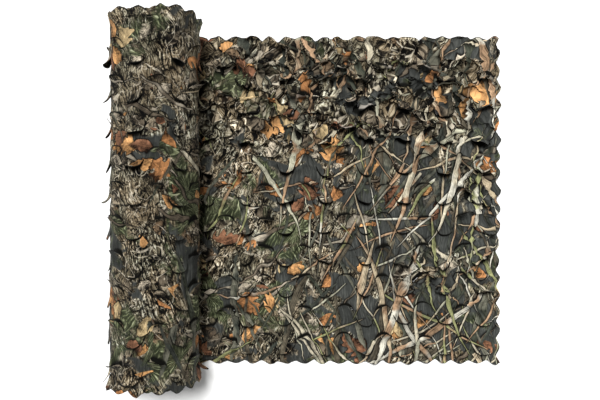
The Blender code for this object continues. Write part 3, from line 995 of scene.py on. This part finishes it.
plants = {
    "cells": {"twig": (0.34, 0.15), "long": (0.74, 0.170), "short": (0.36, 0.080)},
    "twigs": (0.5, (0.2, 0.7), 0.5, 0.014),  # turn, shift, share of the cells kept, width
    "twigSwirl": (0.20, 0.16, 2.0),  # size, reach and detail
    "twigOutline": 0.85,
    "twigColours": ((0.270, 0.235, 0.180), (0.110, 0.088, 0.062)),
    # broad leaves in clusters: size, shift, share kept, and how lobed
    "leaves": ((0.152, (0.05, 0.33), 0.62, 0.34), (0.096, (0.61, 0.17), 0.42, 0.05)),
    "leafClusters": ((0.9, 0.1), 0.24, 1.0),
    "leafRange": (0.48, 0.60),
    "leafColours": (
        (0.250, 0.115, 0.045),
        (0.330, 0.175, 0.070),
        (0.130, 0.062, 0.034),
        (0.300, 0.225, 0.120),
    ),
    # blades from the lowest layer up, the dim ones first: cell, turn, shift, share kept, width
    "dimBlades": (
        ("long", 1.50, (0.23, 0.67), 1.12, 0.028),
        ("short", 2.05, (0.47, 0.21), 1.05, 0.018),
        ("short", 1.10, (0.91, 0.43), 0.98, 0.014),
    ),
    "brightBlades": (
        ("short", 0.35, (0.29, 0.47), 0.588, 0.009),
        ("short", 1.85, (0.83, 0.13), 0.77, 0.008),
        ("long", 2.30, (0.53, 0.81), 0.77, 0.015),
        ("short", 1.15, (0.31, 0.61), 0.70, 0.010),
        ("long", 0.80, (0.71, 0.35), 0.70, 0.016),
        ("long", 1.95, (0.37, 0.59), 0.77, 0.020),
        ("long", 1.40, (0.11, 0.05), 0.84, 0.024),
    ),
    "bladeSwirl": (0.60, 0.10, 0.0),
    "dimOutline": 0.3,
    "brightOutline": 0.6,
    "bladesToEnd": (0.08, 0.83),  # how many of the blades stand at the roll, and at the free end
    "bladesToFar": (1.0, 0.45),  # and how many of those at the near edge, and at the far one
    "dimColours": (
        (0.055, 0.060, 0.043),
        (0.088, 0.075, 0.052),
        (0.046, 0.051, 0.041),
        (0.115, 0.112, 0.084),
    ),
    "brightColours": (
        (0.380, 0.340, 0.250),
        (0.200, 0.205, 0.095),
        (0.380, 0.362, 0.300),
        (0.270, 0.175, 0.105),
        (0.300, 0.290, 0.215),
        (0.330, 0.270, 0.180),
    ),
}


def overgrown(tree, place, ground, toEnd, toFar):
    # twigs, then leaves in clusters, then the blades on top
    p = plants
    style = p["twigColours"], p["twigOutline"], p["twigSwirl"]
    ground = bladeLayer(tree, place, ground, p["cells"]["twig"], *p["twigs"], *style)
    zone = ramp(tree, patches(tree, place, *p["leafClusters"]), *p["leafRange"])
    for layer in p["leaves"]:
        ground = leafLayer(tree, place, ground, *layer, zone, p["leafColours"])
    share = spread(tree, toEnd, *p["bladesToEnd"])
    share = calc(tree, "MULTIPLY", share, spread(tree, toFar, *p["bladesToFar"]))
    for look in ("dim", "bright"):
        style = p[look + "Colours"], p[look + "Outline"], p["bladeSwirl"]
        for cell, turn, shift, keep, width in p[look + "Blades"]:
            limit = calc(tree, "MULTIPLY", share, keep)
            ground = bladeLayer(tree, place, ground, p["cells"][cell], turn, shift, limit, width, *style)
    return ground


clothFinish = {
    "endRange": (0.25, 1.05),  # u over which the print changes towards the free end
    "farRange": (0.15, 0.45),  # v over which it changes towards the far edge
    "unevenNoise": (0.10, 4.0, 0.0, 0.6),
    "uneven": (0.24, 2.14),
    "unevenLeast": 0.25,
    "rollRange": (-0.2, 0.25),  # the print is a little darker on the roll
    "rollShade": (0.78, 1.0),
    "paleRange": (1.20, 1.50),  # and a little paler at the free end
    "paleLift": 0.18,
    "midTone": 0.020,
    "inkLift": 1.26,
    "back": (0.42, 0.38, 0.33),
    "backInk": 0.7,
    # the dark colour of the rims: seared cut edges, and painted shade under the lifted leaves along the cuts
    "cutRimAndShade": (0.003, 0.003, 0.002),
    "rimRange": (0.35, 0.75),
    "roughNoise": (0.03, 2.0),
    "roughness": (0.66, 0.84),
    "sheen": 0.012,
    "sheenRoughness": 0.5,
    "specular": 0.07,
    "weave": 0.0011,
    "weaveDepth": 0.05,  # as a share of the crinkles
    "crinkleNoise": (0.014, 3.0, 0.8),
    "bump": {"Strength": 0.6, "Distance": 0.004},
}


def weathered(tree, place, alongNet, ground):
    # the whole print is a little uneven, darker on the roll and paler at the free end
    f = clothFinish
    uneven = spread(tree, noise(tree, place, *f["unevenNoise"]), *f["uneven"])
    tone = spread(tree, ramp(tree, alongNet, *f["rollRange"]), *f["rollShade"])
    tone = calc(tree, "MULTIPLY_ADD", ramp(tree, alongNet, *f["paleRange"]), f["paleLift"], tone)
    # the inks' contrast: a tone is scaled by the lift times grey / (grey + mid tone), so dark inks sink
    # and pale ones lift
    grey = put(tree, "RGBToBW", {"Color": ground}).outputs[0]
    depth = calc(tree, "DIVIDE", grey, calc(tree, "ADD", grey, f["midTone"]))
    depth = calc(tree, "MULTIPLY", depth, f["inkLift"])
    tone = calc(tree, "MULTIPLY", calc(tree, "MAXIMUM", uneven, f["unevenLeast"]), tone)
    return shaded(tree, ground, calc(tree, "MULTIPLY", depth, tone))


def printCloth():
    # one material for the whole net: the print, the unprinted back, the dark rims (seared, and painted shade
    # along the cuts) and the weave
    f = clothFinish
    material = bpy.data.materials.new("printed net cloth")
    material.use_nodes = True
    tree = material.node_tree
    surface = tree.nodes["Principled BSDF"]
    place = put(tree, "UVMap", uv_map="Cloth").outputs[0]
    apart = put(tree, "SeparateXYZ", {"Vector": place}).outputs
    toEnd = ramp(tree, apart[0], *f["endRange"])
    toFar = ramp(tree, apart[1], *f["farRange"])
    ground = forestFloor(tree, place, toEnd, toFar)
    ground = overgrown(tree, place, ground, toEnd, toFar)
    ground = weathered(tree, place, apart[0], ground)
    # the back of the cloth is pale, with the print showing through a little, and the cut rims are dark:
    # seared, and along the cuts painted shade under the lifted leaves
    turned = put(tree, "Attribute", attribute_name="turned").outputs["Fac"]
    ground = blend(tree, calc(tree, "MULTIPLY", turned, f["backInk"]), ground, f["back"])
    rim = put(tree, "Attribute", attribute_name="rim").outputs["Fac"]
    ground = blend(tree, ramp(tree, rim, *f["rimRange"]), ground, f["cutRimAndShade"])
    tree.links.new(ground, surface.inputs["Base Color"])
    rough = spread(tree, noise(tree, place, *f["roughNoise"]), *f["roughness"])
    tree.links.new(rough, surface.inputs["Roughness"])
    surface.inputs["Sheen Weight"].default_value = f["sheen"]
    surface.inputs["Sheen Roughness"].default_value = f["sheenRoughness"]
    surface.inputs["Specular IOR Level"].default_value = f["specular"]
    # plain weave, the product of a sine each way, and the small crinkles of cloth that has been packed
    threads = [calc(tree, "SINE", calc(tree, "MULTIPLY", apart[k], 2 * math.pi / f["weave"])) for k in (0, 1)]
    weave = calc(tree, "MULTIPLY", *threads)
    crinkle = noise(tree, place, *f["crinkleNoise"])
    height = calc(tree, "MULTIPLY_ADD", weave, f["weaveDepth"], crinkle)
    bump = put(tree, "Bump", {"Height": height, **f["bump"]}).outputs[0]
    tree.links.new(bump, surface.inputs["Normal"])
    return material


def clothSpan(piece):
    # how far the piece reaches on the flat cloth, across it and along it
    corners = piece.data.uv_layers["Cloth"].data
    flat = np.zeros(len(corners) * 2)
    corners.foreach_get("uv", flat)
    along, across = np.ptp(flat.reshape(-1, 2), axis=0)
    return float(across), float(along)


cloth = printCloth()
print("print made:", len(cloth.node_tree.nodes), "nodes")

sheet = makeLooseSheet()
sheet.data.materials.append(cloth)
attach(sheet, "root")
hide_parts("loose_end")
print("loose sheet laid:", len(sheet.data.polygons), "quads")

for piece in [makeOuterTurn(), *makeInnerTurns()]:
    piece.data.materials.append(cloth)
    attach(piece, "root")
    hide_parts("net_roll")
    clothSpan(piece)
    print(piece.name, "wound:", len(piece.data.polygons), "quads")

# the pale floor, the camera straight above, and the light
studio = {
    "floorHalf": 90,
    "floorColour": (0.86, 0.86, 0.85, 1),
    "floorRoughness": 0.9,
    "lens": 31.4,
    "cameraAt": (0.61, 0, 2.4),
    "keyFrom": (-0.08, 0.42, 0.86),
    "keyAngle": 0.36,
    "keyStrength": 4.72,
    "lowLight": (0.97, 0.97, 0.97),  # from near the horizon, up to the first height
    "highLight": (0.28, 0.28, 0.28),  # from above the second
    "lightHeights": (0.02, 0.45),
}
scene = bpy.context.scene
half = studio["floorHalf"]
corners = [(-half, -half, 0), (half, -half, 0), (half, half, 0), (-half, half, 0)]
floorMesh = bpy.data.meshes.new("floor")
floorMesh.from_pydata(corners, [], [(0, 1, 2, 3)])
floor = bpy.data.objects.new("floor", floorMesh)
scene.collection.objects.link(floor)
paper = bpy.data.materials.new("pale floor")
paper.use_nodes = True
paperInputs = paper.node_tree.nodes["Principled BSDF"].inputs
paperInputs["Base Color"].default_value = studio["floorColour"]
paperInputs["Roughness"].default_value = studio["floorRoughness"]
floorMesh.materials.append(paper)

camera = bpy.data.objects.new("camera", bpy.data.cameras.new("camera"))
camera.data.lens = studio["lens"]
camera.location = studio["cameraAt"]
scene.collection.objects.link(camera)
scene.camera = camera
key = bpy.data.objects.new("key", bpy.data.lights.new("key", "SUN"))
key.data.angle = studio["keyAngle"]
key.data.energy = studio["keyStrength"]
key.rotation_euler = Vector(studio["keyFrom"]).to_track_quat("Z", "Y").to_euler()
scene.collection.objects.link(key)
world = bpy.data.worlds.new("studio")
world.use_nodes = True
sky = world.node_tree
direction = put(sky, "TexCoord").outputs["Generated"]
height = put(sky, "SeparateXYZ", {"Vector": direction}).outputs[2]
walls = blend(sky, ramp(sky, height, *studio["lightHeights"]), studio["lowLight"], studio["highLight"])
sky.links.new(walls, sky.nodes["Background"].inputs["Color"])
scene.world = world
scene.view_settings.view_transform = "Standard"
print("floor, camera and light in place")
